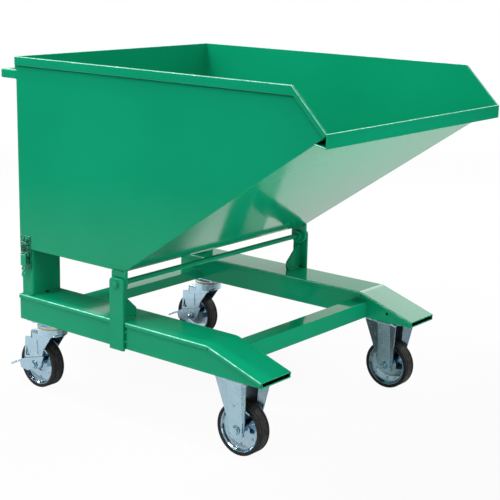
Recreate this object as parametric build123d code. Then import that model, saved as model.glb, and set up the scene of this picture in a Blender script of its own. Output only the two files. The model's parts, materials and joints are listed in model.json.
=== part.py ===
from build123d import *
import math
import os

# Millimetres. +X is the way the tub tips, +Y is the left side, +Z is up.
# The origin is on the floor below the middle of the cart.

# Tub
tub_length = 1117.0
tub_width = 838.0
tub_height = 568.0
tub_sheet = 3.2
tub_floor_sheet = 4.5
floor_length = 435.0
front_cut = 110.0
lip_drop = 34.0
lip_return_angle = 11.0
rim_thickness = 6.0
rim_height = 25.0
rim_strip = 13.0
rear_rim_height = 38.0

# Push handle
handle_tube = 25.0
handle_edge = 3.0
handle_wall = 2.3
handle_reach = 84.0
handle_corner = 30.0
handle_drop = 53.0

# Wheels
wheel_diameter = 150.0
tyre_width = 45.0
tyre_shoulder = 4.0
tread_groove = 3.0
tread_groove_spacing = 27.0
rim_lip_diameter = 130.0
rim_lip_width = 40.0
rim_bed_depth = 5.5
rim_bed_width = 31.0
rim_lip_edge = 2.2
rim_bowl_outer = 112.0
rim_bowl_inner = 54.0
rim_bowl_width = 12.0
rim_bowl_rise = 5.5
rim_bowl_sag = 1.4
hub_diameter = 33.0
axle_diameter = 12.0
axle_head = 19.0
axle_head_height = 8.0
axle_nut_height = 10.0

# Casters
wheel_clearance = 28.0
fork_sheet = 4.0
tyre_clearance = 5.5
fork_bend = 9.0
crown_sheet = 6.0
bearing_height = 36.0
top_plate_sheet = 6.0
top_plate_length = 112.0
top_plate_width = 104.0
race_diameter = 90.0
race_neck = 70.0
race_height = 8.0
race_wall = 6.0
kingpin_diameter = 18.0
kingpin_nut = 26.0
kingpin_nut_height = 9.0
swivel_trail = 48.0
leg_toe = 19.0
leg_rear = 16.0
leg_waist = 40.0
leg_shoulder = 74.0
leg_shoulder_drop = 9.0
leg_pocket_ahead = 17.5
leg_pocket_lean = 2.0
leg_pocket_width = 13.0
leg_pocket_low = 38.0
leg_pocket_high = 80.0
leg_pocket_depth = 1.8
leg_slot_width = 4.5
leg_slot_rear = 11.5
leg_slot_low = 85.0
leg_slot_high = 97.0
wing_reach = 46.0
wing_taper = 4.0
wing_low = 15.0
wing_high = 83.0
wing_step = 5.0
window_margin = 6.0
window_width = 17.0
window_low = 24.0
window_high = 54.0
front_fork_top = 84.0
front_fork_sheet = 5.0
front_leg_toe = 22.0
front_leg_straight = 35.0
front_leg_rear = 84.0
front_plate_front = 57.0
front_bend = 14.0
front_wing_bend = 25.0
front_wing_angle = 12.0
front_flare_bend = 21.0
front_flare_angle = 28.0
front_flare_ahead = 52.0
front_toe_round = 20.0
front_toe_ahead = 9.0

# Brake pedals
pedal_sheet = 3.0
pedal_toe_ahead = 43.0
pedal_toe_rise = 36.0
pedal_front_ahead = 28.0
pedal_front_drop = 2.0
pedal_belly_rear = 31.0
pedal_belly = 25.0
pedal_heel_rear = 60.0
pedal_heel_drop = 22.0
pedal_back_rear = 45.0
pedal_back_rise = 12.0
pedal_arm = 6.0
pedal_tread_gap = 6.0
pedal_tread_length = 26.0
pedal_tread_angle = 25.0

# Chassis
beam_overhang = 9.0
beam_width = 132.0
beam_height = 78.0
beam_length = 938.0
beam_sheet = 4.0
nose_length = 186.0
nose_tip = 17.0
cap_flange = 13.0
cap_corner = 6.0
cap_bend = 60.0
cap_slit = 2.5
web_hole_diameter = 9.0
web_hole_setback = 849.0
web_hole_rise = 27.0
front_axle_setback = 829.0
rear_swivel_setback = 73.0
front_cross_size = 50.0
front_cross_setback = 722.0
rear_cross_length = 60.0
rear_cross_height = 32.0
rear_cross_setback = 27.0
cross_wall = 3.2
post_height = 143.0
post_depth = 50.0
post_width = 114.0
post_inset = 12.0
post_sheet = 5.0
post_corner = 8.0
post_bore_corner = 3.0
post_drain_width = 14.0
post_drain_height = 6.0

# Pivot
pivot_lead = 16.5
pivot_drop = 35.0
shaft_diameter = 16.0
shaft_end = 4.0
washer_diameter = 26.0
washer_thickness = 2.0
bar_width = 54.0
bar_thickness = 9.0
bar_head = 17.0
bar_tail = 6.0
bar_corner = 12.0
gusset_sheet = 8.0
gusset_width = 69.0
gusset_edge = 26.0
gusset_flat = 11.0
gusset_round = 8.0
lug_width = 55.0
lug_thickness = 10.0
boss_diameter = 36.0
boss_length = 12.0

# Latches
latch_setback = 27.0
latch_sheet = 3.0
latch_base_width = 40.0
latch_base_height = 56.0
latch_base_drop = 3.0
latch_pin_diameter = 5.0
latch_pin_drop = 14.0
ear_spacing = 16.0
lever_sheet = 2.5
lever_knuckle = 13.0
lever_back = 5.5
lever_web_start = 2.0
lever_cheek_margin = 5.0
lever_cheek_taper = 6.0
lever_neck = 10.0
lever_ring = 16.0
lever_eye = 7.0
lever_eye_drop = 47.0
lever_tip = 70.0
lever_tip_width = 13.0
lever_tip_start = 57.0
lever_tip_kick = 3.0
bail_wire = 4.5
bail_arm = 26.0
bail_set = 1.5
bail_bend = 3.2
keeper_sheet = 3.0
keeper_width = 40.0
keeper_rise = 13.0
keeper_height = 27.0
keeper_hook_width = 22.0
keeper_hook_reach = 8.0
keeper_hook_lip = 9.0

# Clearances
running_fit = 0.05
seat_fit = 0.02
side_gap = 0.4
lug_gap = 0.8
bearing_gap = 1.0
notch_gap = 0.5
bail_fit = 0.08
bail_side_gap = 1.4
keeper_gap = 1.5
knuckle_gap = 1.0
ear_gap = 0.3
gusset_gap = 1.5

# Levels and stations worked out from the sizes above
rear_x = -(tub_length - handle_reach) / 2
lip_x = rear_x + tub_length
knee_x = lip_x - front_cut
lip_back_x = lip_x - tub_sheet
floor_front_x = rear_x + floor_length

wheel_radius = wheel_diameter / 2
axle_z = wheel_radius
crown_z = wheel_diameter + wheel_clearance
beam_low = crown_z + crown_sheet + bearing_height + top_plate_sheet
beam_high = beam_low + beam_height
floor_z = beam_high + post_height
rim_z = floor_z + tub_height
lip_z = rim_z - front_cut
pivot_x = floor_front_x - pivot_lead
pivot_z = floor_z - pivot_drop

slope_rise = (lip_z - floor_z) / (lip_x - floor_front_x)
slope_angle = math.atan(slope_rise)

tub_y = tub_width / 2
tub_inner_y = tub_y - tub_sheet
rim_y = tub_y + rim_thickness
beam_outer_y = tub_y + beam_overhang
beam_inner_y = beam_outer_y - beam_width
beam_y = (beam_outer_y + beam_inner_y) / 2
web_outer_y = beam_outer_y - beam_sheet
web_inner_y = beam_inner_y + beam_sheet
bar_outer_y = web_outer_y + bar_thickness
post_outer_y = beam_outer_y - post_inset

bend_x = rear_x + beam_length - nose_length
tip_x = rear_x + beam_length
nose_fall = (beam_height - nose_tip) / nose_length
nose_angle = math.atan(nose_fall)

front_axle_x = rear_x + front_axle_setback
swivel_x = rear_x + rear_swivel_setback
rear_axle_x = swivel_x - swivel_trail
fork_gap = tyre_width + 2 * tyre_clearance
leg_outer = fork_gap / 2 + fork_sheet
cheek_inner = leg_outer + side_gap
cheek_outer = cheek_inner + pedal_sheet


# Helpers
def block(x_from, x_to, y_from, y_to, z_from, z_to):
    """A box between two planes on each axis."""
    box = Box(x_to - x_from, y_to - y_from, z_to - z_from, align=(Align.MIN, Align.MIN, Align.MIN))
    return Pos(x_from, y_from, z_from) * box


def outline(*points):
    """A face with straight sides."""
    return Polygon(*points, align=None)


def along_x(face, x_from, x_to):
    """A face drawn in Y and Z, made solid between two X planes."""
    return extrude(Plane.YZ.offset(x_from) * face, amount=x_to - x_from, dir=(1, 0, 0))


def along_y(face, y_from, y_to):
    """A face drawn in X and Z, made solid between two Y planes."""
    plane = Plane(origin=(0, y_from, 0), x_dir=(1, 0, 0), z_dir=(0, -1, 0))
    return extrude(plane * face, amount=y_to - y_from, dir=(0, 1, 0))


def along_z(face, z_from, z_to):
    """A face drawn in X and Y, made solid between two Z planes."""
    return extrude(Plane.XY.offset(z_from) * face, amount=z_to - z_from, dir=(0, 0, 1))


def rod_x(diameter, y, z, x_from, x_to):
    """A round bar along X."""
    return along_x(Pos(y, z) * Circle(diameter / 2), x_from, x_to)


def rod_y(diameter, x, z, y_from, y_to):
    """A round bar along Y."""
    return along_y(Pos(x, z) * Circle(diameter / 2), y_from, y_to)


def hexagon(width):
    """A hexagon measured across its flats."""
    return RegularPolygon(width / 2, 6, major_radius=False)


def around(face, x, y, z):
    """A face drawn as radius and height, turned about an upright axis."""
    return Pos(x, y, z) * revolve(Plane.XZ * face, axis=Axis.Z)


nodes = {}


def pair(name, part):
    """Keeps a piece of the left side and its mirror image on the right."""
    nodes[name + "_left"] = part
    nodes[name + "_right"] = mirror(part, about=Plane.XZ)


# Tub plates: flat sheets that meet edge to edge
def slope_under(x):
    """Height of the underside of the sloped plate."""
    return floor_z + (x - floor_front_x) * slope_rise


slope_upright = tub_sheet / math.cos(slope_angle)
cut_end_z = rim_z - (lip_back_x - knee_x)
mitre_z = floor_z + tub_floor_sheet
mitre_x = floor_front_x - (slope_upright - tub_floor_sheet) / slope_rise

side_face = outline(
    (rear_x, floor_z),
    (floor_front_x, floor_z),
    (lip_back_x, slope_under(lip_back_x)),
    (lip_back_x, cut_end_z),
    (knee_x, rim_z),
    (rear_x, rim_z),
)
pair("tub_side", along_y(side_face, tub_inner_y, tub_y))

nodes["tub_rear"] = block(
    rear_x, rear_x + tub_floor_sheet, -tub_inner_y, tub_inner_y, floor_z, rim_z
)

floor_face = outline(
    (rear_x + tub_floor_sheet, floor_z),
    (floor_front_x, floor_z),
    (mitre_x, mitre_z),
    (rear_x + tub_floor_sheet, mitre_z),
)
nodes["tub_floor"] = along_y(floor_face, -tub_inner_y, tub_inner_y)

slope_face = outline(
    (floor_front_x, floor_z),
    (lip_back_x, slope_under(lip_back_x)),
    (lip_back_x, slope_under(lip_back_x) + slope_upright),
    (mitre_x, mitre_z),
)
nodes["tub_slope"] = along_y(slope_face, -tub_inner_y, tub_inner_y)

# Lip: a flange that hangs from the front edge and folds back under the slope
lip_low = lip_z - lip_drop
return_rise = math.tan(math.radians(lip_return_angle))
return_upright = tub_sheet / math.cos(math.radians(lip_return_angle))
return_run = lip_drop / (return_rise + slope_rise)
return_top_run = (lip_drop - return_upright) / (return_rise + slope_rise)
lip_face = outline(
    (lip_x, cut_end_z),
    (lip_x, lip_low),
    (lip_x - return_run, lip_z - return_run * slope_rise),
    (lip_x - return_top_run, lip_z - return_top_run * slope_rise),
    (lip_back_x, lip_low + return_upright + tub_sheet * return_rise),
    (lip_back_x, cut_end_z),
)
nodes["tub_lip"] = along_y(lip_face, -rim_y, rim_y)

# Rim: a flat bar along each side that narrows down the slanted edge
strip_shift = rim_strip * math.sqrt(2)
strip_run = strip_shift / (1 + slope_rise)
rim_face = outline(
    (rear_x, rim_z),
    (knee_x, rim_z),
    (lip_back_x, cut_end_z),
    (lip_back_x, slope_under(lip_back_x)),
    (lip_x - strip_run, slope_under(lip_x - strip_run)),
    (knee_x + rim_height - strip_shift, rim_z - rim_height),
    (rear_x, rim_z - rim_height),
)
pair("rim_side", along_y(rim_face, tub_y, rim_y))
nodes["rim_rear"] = block(
    rear_x - rim_thickness, rear_x, -tub_y, tub_y, rim_z - rear_rim_height, rim_z
)

# Push handle: one bent square tube, flush with the tub sides and welded to the rear plate
handle_y = tub_y - handle_tube / 2
handle_x = rear_x - handle_reach + handle_tube / 2
handle_path = Plane.XY.offset(rim_z - handle_drop) * FilletPolyline(
    (rear_x, -handle_y),
    (handle_x, -handle_y),
    (handle_x, handle_y),
    (rear_x, handle_y),
    radius=handle_corner - handle_tube / 2,
)
handle_bore = handle_tube - 2 * handle_wall
handle_section = RectangleRounded(handle_tube, handle_tube, handle_edge) - Rectangle(handle_bore, handle_bore)
handle_start = Plane(handle_path @ 0, x_dir=(0, 1, 0), z_dir=handle_path % 0)
nodes["push_handle"] = sweep(handle_start * handle_section, handle_path)

# Side beams: a folded tray with a bent cap over it
corner_shift = beam_sheet * math.tan(nose_angle / 2)
tray_high = beam_high - beam_sheet
tray_tip_z = tray_high - (tip_x - bend_x + corner_shift) * nose_fall
tray_top = FilletPolyline(
    (rear_x, tray_high),
    (bend_x - corner_shift, tray_high),
    (tip_x, tray_tip_z),
    radius=cap_bend - beam_sheet,
)
tray_rest = Polyline((tip_x, tray_tip_z), (tip_x, beam_low), (rear_x, beam_low), (rear_x, tray_high))
tray_face = make_face([*tray_top.edges(), *tray_rest.edges()])
tray_space = block(
    rear_x + beam_sheet,
    tip_x + beam_sheet,
    web_inner_y + beam_sheet,
    web_outer_y - beam_sheet,
    beam_low + beam_sheet,
    beam_high,
)
web_hole = rod_y(
    web_hole_diameter,
    rear_x + web_hole_setback,
    beam_low + web_hole_rise,
    web_inner_y,
    web_inner_y + beam_sheet,
)
pair("beam_tray", along_y(tray_face, web_inner_y, web_outer_y) - tray_space - web_hole)

cap_path = Plane(origin=(0, beam_y, 0), x_dir=(1, 0, 0), z_dir=(0, -1, 0)) * FilletPolyline(
    (rear_x, beam_high),
    (bend_x, beam_high),
    (tip_x, beam_high - nose_length * nose_fall),
    radius=cap_bend,
)
cap_outer = Rectangle(beam_width, cap_flange, align=(Align.CENTER, Align.MAX))
cap_outer = fillet(cap_outer.vertices().group_by(Axis.Y)[-1], cap_corner)
cap_inner = Rectangle(beam_width - 2 * beam_sheet, cap_flange, align=(Align.CENTER, Align.MAX))
cap_section = cap_outer - Pos(0, -beam_sheet) * cap_inner
cap_start = Plane(origin=(rear_x, beam_y, beam_high), x_dir=(0, 1, 0), z_dir=(1, 0, 0))
cap = sweep(cap_start * cap_section, cap_path)
bar_notch = block(
    pivot_x - bar_width / 2 - notch_gap,
    pivot_x + bar_width / 2 + notch_gap,
    web_outer_y,
    beam_outer_y,
    beam_high - cap_flange,
    beam_high,
)
slit = block(
    bend_x,
    bend_x + cap_slit,
    beam_inner_y,
    beam_outer_y,
    beam_low,
    beam_high - beam_sheet - cap_corner / 2,
)
pair("beam_cap", cap - bar_notch - slit)


# Cross members: tubes between the beams
def cross_tube(x_from, length, height):
    """A rectangular tube from beam to beam, standing on the level of the beam bottoms."""
    tube = block(x_from, x_from + length, -web_inner_y, web_inner_y, beam_low, beam_low + height)
    bore = block(
        x_from + cross_wall,
        x_from + length - cross_wall,
        -web_inner_y,
        web_inner_y,
        beam_low + cross_wall,
        beam_low + height - cross_wall,
    )
    return tube - bore


nodes["cross_front"] = cross_tube(rear_x + front_cross_setback, front_cross_size, front_cross_size)
nodes["cross_rear"] = cross_tube(rear_x + rear_cross_setback, rear_cross_length, rear_cross_height)

# Posts: rectangular tubes that carry the tub floor, with a drain hole at the foot
post_x = rear_x + post_depth / 2
post_y = post_outer_y - post_width / 2
post_front_x = rear_x + post_depth
post_section = RectangleRounded(post_depth, post_width, post_corner) - RectangleRounded(
    post_depth - 2 * post_sheet, post_width - 2 * post_sheet, post_bore_corner
)
drain = block(
    post_front_x - post_sheet,
    post_front_x,
    post_y - post_drain_width / 2,
    post_y + post_drain_width / 2,
    beam_high,
    beam_high + post_drain_height,
)
pair("post", along_z(Pos(post_x, post_y) * post_section, beam_high, floor_z) - drain)

# Pivot: bars welded to the beams, gussets behind them, one shaft from side to side
bar_face = Pos(pivot_x, beam_low - bar_tail) * Rectangle(
    bar_width, pivot_z + bar_head - beam_low + bar_tail, align=(Align.CENTER, Align.MIN)
)
bar_face = fillet(bar_face.vertices().group_by(Axis.Y)[-1], bar_corner)
bar_hole = Pos(pivot_x, pivot_z) * Circle(shaft_diameter / 2 + seat_fit)
pair("pivot_bar", along_y(bar_face - bar_hole, web_outer_y, bar_outer_y))

gusset_top = pivot_z - lug_width / 2 - gusset_gap
gusset_face = outline(
    (web_outer_y, beam_high),
    (web_outer_y - gusset_width, beam_high),
    (web_outer_y - gusset_width, beam_high + gusset_edge),
    (web_outer_y - gusset_flat, gusset_top),
    (web_outer_y, gusset_top),
)
gusset_face = fillet(gusset_face.vertices().group_by(Axis.X)[0].sort_by(Axis.Y)[0], gusset_round)
pair("gusset", along_x(gusset_face, pivot_x - gusset_sheet / 2, pivot_x + gusset_sheet / 2))

shaft_y = bar_outer_y + shaft_end
nodes["pivot_shaft"] = rod_y(shaft_diameter, pivot_x, pivot_z, -shaft_y, shaft_y)
washer_face = Pos(pivot_x, pivot_z) * (Circle(washer_diameter / 2) - Circle(shaft_diameter / 2 + seat_fit))
pair("shaft_washer", along_y(washer_face, bar_outer_y, bar_outer_y + washer_thickness))

# Lugs hang from the tub floor and turn on the shaft
lug_outer_y = web_outer_y - lug_gap
lug_inner_y = lug_outer_y - lug_thickness
lug_rear_x = pivot_x - lug_width / 2
lug_front_x = pivot_x + lug_width / 2
lug_top = Polyline(
    (lug_rear_x, pivot_z),
    (lug_rear_x, floor_z),
    (floor_front_x, floor_z),
    (lug_front_x, slope_under(lug_front_x)),
    (lug_front_x, pivot_z),
)
lug_round = ThreePointArc((lug_front_x, pivot_z), (pivot_x, pivot_z - lug_width / 2), (lug_rear_x, pivot_z))
lug = along_y(make_face([*lug_top.edges(), *lug_round.edges()]), lug_inner_y, lug_outer_y)
lug += rod_y(boss_diameter, pivot_x, pivot_z, lug_inner_y - boss_length, lug_inner_y)
lug -= rod_y(shaft_diameter + 2 * running_fit, pivot_x, pivot_z, lug_inner_y - boss_length, lug_outer_y)
pair("pivot_lug", lug)

# Latch base: a plate on the post with two ears that hold the hinge pin
web_out = lever_knuckle / 2
web_in = web_out - lever_sheet
ear_radius = web_in - ear_gap
latch_x = rear_x + latch_setback
base_face_y = post_outer_y + latch_sheet
latch_pin_y = base_face_y + knuckle_gap + web_out
latch_pin_z = floor_z - latch_pin_drop
base = block(
    latch_x - latch_base_width / 2,
    latch_x + latch_base_width / 2,
    post_outer_y,
    base_face_y,
    floor_z - latch_base_drop - latch_base_height,
    floor_z - latch_base_drop,
)
ear_face = Pos(latch_pin_y, latch_pin_z) * Circle(ear_radius)
ear_face += Pos(base_face_y, latch_pin_z) * Rectangle(
    latch_pin_y - base_face_y, 2 * ear_radius, align=(Align.MIN, Align.CENTER)
)
ear_face -= Pos(latch_pin_y, latch_pin_z) * Circle(latch_pin_diameter / 2 + seat_fit)
for ear_x in (latch_x - ear_spacing / 2, latch_x + ear_spacing / 2 - latch_sheet):
    base += along_x(ear_face, ear_x, ear_x + latch_sheet)
pair("latch_base", base)

cheek_x = ear_spacing / 2 + side_gap
lever_x = cheek_x + lever_sheet
pair("latch_pin", rod_x(latch_pin_diameter, latch_pin_y, latch_pin_z, latch_x - lever_x, latch_x + lever_x))


# Lever: a folded channel over the ears, and a tongue with an eye and a raised tip to pull on
def latch_point(out, up):
    """A point measured outwards and upwards from the lever's hinge pin."""
    return (latch_pin_y + out, latch_pin_z + up)


bail_y, bail_z = latch_point(-bail_set, -bail_arm)
lever_cheek = bail_arm + lever_cheek_margin
lever_body = lever_cheek + lever_cheek_taper

lever_face = Pos(latch_pin_y, latch_pin_z) * Circle(web_out)
lever_face += outline(
    latch_point(-lever_back, 0),
    latch_point(web_out, 0),
    latch_point(web_out, -lever_body),
    latch_point(web_in, -lever_body),
    latch_point(-lever_back, -lever_cheek),
)
lever = along_x(lever_face, latch_x - lever_x, latch_x + lever_x)
inside_face = outline(
    latch_point(-web_out, web_out),
    latch_point(web_out, web_out),
    latch_point(web_out, -lever_web_start),
    latch_point(web_in, -lever_web_start),
    latch_point(web_in, -lever_body),
    latch_point(-web_out, -lever_body),
)
lever -= along_x(inside_face, latch_x - cheek_x, latch_x + cheek_x)

eye_place = Pos(latch_x, latch_pin_z - lever_eye_drop)
tongue_face = Pos(latch_x, latch_pin_z - lever_tip_start) * Rectangle(
    lever_neck, lever_tip_start - lever_cheek, align=(Align.CENTER, Align.MIN)
)
tongue_face += eye_place * Circle(lever_ring / 2)
tongue_face -= eye_place * Circle(lever_eye / 2)
lever += along_y(tongue_face, latch_pin_y + web_in, latch_pin_y + web_out)

tip_round = lever_tip_width / 2
tip_face = Pos(latch_x, latch_pin_z - lever_tip + tip_round) * Circle(tip_round)
tip_face += Pos(latch_x, latch_pin_z - lever_tip + tip_round) * Rectangle(
    lever_tip_width, lever_tip - tip_round - lever_tip_start, align=(Align.CENTER, Align.MIN)
)
tip_side = outline(
    latch_point(web_in, -lever_tip_start),
    latch_point(web_in + lever_tip_kick, -lever_tip),
    latch_point(web_out + lever_tip_kick, -lever_tip),
    latch_point(web_out, -lever_tip_start),
)
tip = along_x(tip_side, latch_x - tip_round, latch_x + tip_round)
lever += tip & along_y(tip_face, latch_pin_y, latch_pin_y + web_out + lever_tip_kick)
lever -= rod_x(
    latch_pin_diameter + 2 * running_fit, latch_pin_y, latch_pin_z, latch_x - lever_x, latch_x + lever_x
)
lever -= rod_x(bail_wire + 2 * bail_fit, bail_y, bail_z, latch_x - lever_x, latch_x + lever_x)
pair("latch_lever", lever)

# Bail: bent wire whose ends turn in the lever cheeks; its bar stands just under the keeper's hook
keeper_z = floor_z + keeper_rise
bail_leg = lever_x + bail_side_gap + bail_wire / 2
bail_top_z = keeper_z - keeper_gap - bail_wire / 2
bail_path = FilletPolyline(
    (latch_x - cheek_x, bail_y, bail_z),
    (latch_x - bail_leg, bail_y, bail_z),
    (latch_x - bail_leg, bail_y, bail_top_z),
    (latch_x + bail_leg, bail_y, bail_top_z),
    (latch_x + bail_leg, bail_y, bail_z),
    (latch_x + cheek_x, bail_y, bail_z),
    radius=bail_bend,
)
pair("latch_bail", sweep(Plane(bail_path @ 0, z_dir=bail_path % 0) * Circle(bail_wire / 2), bail_path))

# Keeper: a plate on the tub side with a hooked ledge
hook_y = tub_y + keeper_sheet + keeper_hook_reach
keeper = block(
    latch_x - keeper_width / 2,
    latch_x + keeper_width / 2,
    tub_y,
    tub_y + keeper_sheet,
    keeper_z,
    keeper_z + keeper_height,
)
hook_face = outline(
    (tub_y + keeper_sheet, keeper_z),
    (hook_y, keeper_z),
    (hook_y, keeper_z + keeper_hook_lip),
    (hook_y - keeper_sheet, keeper_z + keeper_hook_lip),
    (hook_y - keeper_sheet, keeper_z + keeper_sheet),
    (tub_y + keeper_sheet, keeper_z + keeper_sheet),
)
keeper += along_x(hook_face, latch_x - keeper_hook_width / 2, latch_x + keeper_hook_width / 2)
pair("keeper", keeper)

# Wheels: a pressed rim with a round bowl on each face, and a rubber tyre on its bed
lip_radius = rim_lip_diameter / 2
bed_radius = lip_radius - rim_bed_depth
hub_half = fork_gap / 2 - side_gap
tyre_half = tyre_width / 2
bowl_inner = rim_bowl_inner / 2
bowl_outer = rim_bowl_outer / 2
bowl_low = rim_bowl_width / 2
bowl_high = bowl_low + rim_bowl_rise


def both_sides(points):
    """A profile of radius and width that is the same on both sides of the wheel."""
    return outline(*points, *[(radius, -width) for radius, width in reversed(points)])


rim_profile = both_sides(
    [
        (axle_diameter / 2 + running_fit, hub_half),
        (hub_diameter / 2, hub_half),
        (hub_diameter / 2, bowl_high),
        (bowl_inner, bowl_low),
        (bowl_outer, bowl_high),
        (bed_radius - rim_lip_edge, bowl_high),
        (lip_radius - rim_lip_edge, rim_lip_width / 2),
        (lip_radius, rim_lip_width / 2),
        (bed_radius, rim_bed_width / 2),
    ]
)
bowl_arc = ThreePointArc(
    (bowl_inner, bowl_low),
    ((bowl_inner + bowl_outer) / 2, (bowl_low + bowl_high) / 2 - rim_bowl_sag),
    (bowl_outer, bowl_high),
)
bowl = make_face([*bowl_arc.edges(), *Line(bowl_arc @ 1, bowl_arc @ 0).edges()])
rim_profile -= bowl
rim_profile -= mirror(bowl, about=Plane.XZ)
tyre_profile = both_sides(
    [
        (bed_radius, rim_bed_width / 2),
        (lip_radius, rim_lip_width / 2),
        (lip_radius, tyre_half),
        (wheel_radius, tyre_half),
    ]
)
tyre_profile = fillet(tyre_profile.vertices().group_by(Axis.X)[-1], tyre_shoulder)
groove = Rectangle(tread_groove, tread_groove)
for groove_y in (-tread_groove_spacing / 2, tread_groove_spacing / 2):
    tyre_profile -= Pos(wheel_radius, groove_y) * groove
wheel_rim = revolve(rim_profile, axis=Axis.Y)
wheel_tyre = revolve(tyre_profile, axis=Axis.Y)
for name, axle_x in (("front", front_axle_x), ("rear", rear_axle_x)):
    place = Pos(axle_x, beam_y, axle_z)
    pair(name + "_rim", place * wheel_rim)
    pair(name + "_tyre", place * wheel_tyre)


def axle_bolt(x, grip):
    """A bolt through the fork and the wheel, with its head on the outer side."""
    head = Pos(x, axle_z) * hexagon(axle_head)
    bolt = rod_y(axle_diameter, x, axle_z, beam_y - grip, beam_y + grip)
    bolt += along_y(head, beam_y + grip, beam_y + grip + axle_head_height)
    bolt += along_y(head, beam_y - grip - axle_nut_height, beam_y - grip)
    return bolt


pair("front_axle", axle_bolt(front_axle_x, leg_outer))
pair("rear_axle", axle_bolt(rear_axle_x, cheek_outer + side_gap))


# Front forks: a pressed fork with splayed legs, front edges flared out and rear wings bent in
def from_front_axle(*points):
    """Points measured from the front axle."""
    return [(front_axle_x + ahead, axle_z + up) for ahead, up in points]


def front_section(inset, top):
    """The space inside the splayed fork's outer skin, drawn that far inside it."""
    foot = axle_z - front_leg_toe
    knee = axle_z + front_leg_straight
    return outline(
        (inset - leg_outer, foot),
        (inset - leg_outer, knee),
        (inset - front_fork_top / 2, top),
        (front_fork_top / 2 - inset, top),
        (leg_outer - inset, knee),
        (leg_outer - inset, foot),
    )


def front_length(face, rear, front):
    """A front fork section made solid between two distances ahead of the axle."""
    return Pos(0, beam_y, 0) * along_x(face, front_axle_x + rear, front_axle_x + front)


fork_top = beam_low - axle_z
front_skin = front_section(0, beam_low)
front_skin = fillet(front_skin.vertices().group_by(Axis.Y)[-1], front_bend)
front_space = front_section(fork_sheet, beam_low - front_fork_sheet)
front_space = fillet(front_space.vertices().group_by(Axis.Y)[-1], front_bend - fork_sheet)
front_sheet = front_skin - front_space
front_fork = front_length(front_sheet, -front_wing_bend, front_flare_bend)

for side in (1, -1):
    half = Pos(side * front_fork_top, axle_z) * Rectangle(2 * front_fork_top, 2 * fork_top)
    half_sheet = front_sheet & half
    for bend, edge, angle in (
        (-front_wing_bend, -front_leg_rear, front_wing_angle),
        (front_flare_bend, front_flare_ahead, front_flare_angle),
    ):
        run = edge - bend
        shift = run * math.tan(math.radians(angle))
        wing_face = Plane.YZ.offset(front_axle_x + bend) * half_sheet
        wing = extrude(wing_face, amount=math.hypot(run, shift), dir=(run, side * shift, 0))
        front_fork += Pos(0, beam_y, 0) * wing

front_leg = outline(
    *from_front_axle(
        (-front_leg_rear, fork_top),
        (-front_leg_toe, 0),
        (front_toe_ahead + front_toe_round, 0),
        (front_flare_ahead, fork_top),
    )
)
front_leg += Pos(front_axle_x + front_toe_ahead, axle_z) * Circle(front_toe_round)
front_leg += Pos(front_axle_x, axle_z) * Circle(front_leg_toe)
front_leg -= Pos(front_axle_x, axle_z) * Circle(axle_diameter / 2 + seat_fit)
front_fork &= along_y(front_leg, beam_y - front_fork_top, beam_y + front_fork_top)
plate_face = front_skin - front_section(0, beam_low - front_fork_sheet)
front_fork += front_length(plate_face, -front_leg_rear, front_plate_front)
pair("front_fork", front_fork)

# Rear casters: a fixed top plate with an upper race and a kingpin
race_radius = race_diameter / 2
upper_race_z = beam_low - top_plate_sheet - bearing_height / 2
kingpin_radius = kingpin_diameter / 2
nut_z = crown_z - bearing_gap
race_profile = outline(
    (0, beam_low - top_plate_sheet),
    (race_neck / 2, beam_low - top_plate_sheet),
    (race_radius, upper_race_z + race_height),
    (race_radius, upper_race_z),
    (kingpin_radius, upper_race_z),
    (kingpin_radius, nut_z),
    (0, nut_z),
)
top_plate = block(
    swivel_x - top_plate_length / 2,
    swivel_x + top_plate_length / 2,
    beam_y - top_plate_width / 2,
    beam_y + top_plate_width / 2,
    beam_low - top_plate_sheet,
    beam_low,
)
top_plate += around(race_profile, swivel_x, beam_y, 0)
top_plate += along_z(Pos(swivel_x, beam_y) * hexagon(kingpin_nut), nut_z - kingpin_nut_height, nut_z)
pair("caster_plate", top_plate)


# Rear forks: a pressed fork that trails behind the kingpin, with the lower race on its crown
def from_rear_axle(*points):
    """Points measured from the rear axle."""
    return [(rear_axle_x + ahead, axle_z + up) for ahead, up in points]


crown_top = crown_z + crown_sheet
leg_height = crown_top - axle_z
crown_front = swivel_trail + race_radius
rear_shell = Pos(0, axle_z - leg_toe) * Rectangle(
    2 * leg_outer, leg_height + leg_toe, align=(Align.CENTER, Align.MIN)
)
rear_shell = fillet(rear_shell.vertices().group_by(Axis.Y)[-1], fork_bend)
rear_space = Pos(0, axle_z - leg_toe) * Rectangle(
    fork_gap, crown_z - axle_z + leg_toe, align=(Align.CENTER, Align.MIN)
)
rear_fork = Pos(0, beam_y, 0) * along_x(
    rear_shell - rear_space, rear_axle_x - wing_reach, rear_axle_x + crown_front
)
rear_leg = outline(
    *from_rear_axle(
        (-leg_rear, leg_height),
        (-leg_rear, wing_high + wing_step),
        (wing_taper - wing_reach, wing_high),
        (-wing_reach, wing_low),
        (-leg_toe, 0),
        (leg_toe, 0),
        (leg_waist, leg_height / 2),
        (leg_shoulder, leg_height - leg_shoulder_drop),
        (crown_front, leg_height),
    )
)
rear_leg += Pos(rear_axle_x, axle_z) * Circle(leg_toe)
wing_window = outline(
    *from_rear_axle(
        (window_margin - wing_reach, window_low),
        (window_margin + window_width - wing_reach, window_low),
        (window_margin + wing_taper - wing_reach, window_high),
    )
)
leg_slot = SlotCenterToCenter(leg_slot_high - leg_slot_low, leg_slot_width, rotation=90)
slot_place = Pos(rear_axle_x - leg_slot_rear, axle_z + (leg_slot_low + leg_slot_high) / 2)
rear_leg -= wing_window
rear_leg -= slot_place * leg_slot
rear_fork &= along_y(rear_leg, beam_y - leg_outer, beam_y + leg_outer)
pocket_half = leg_pocket_width / 2
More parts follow.
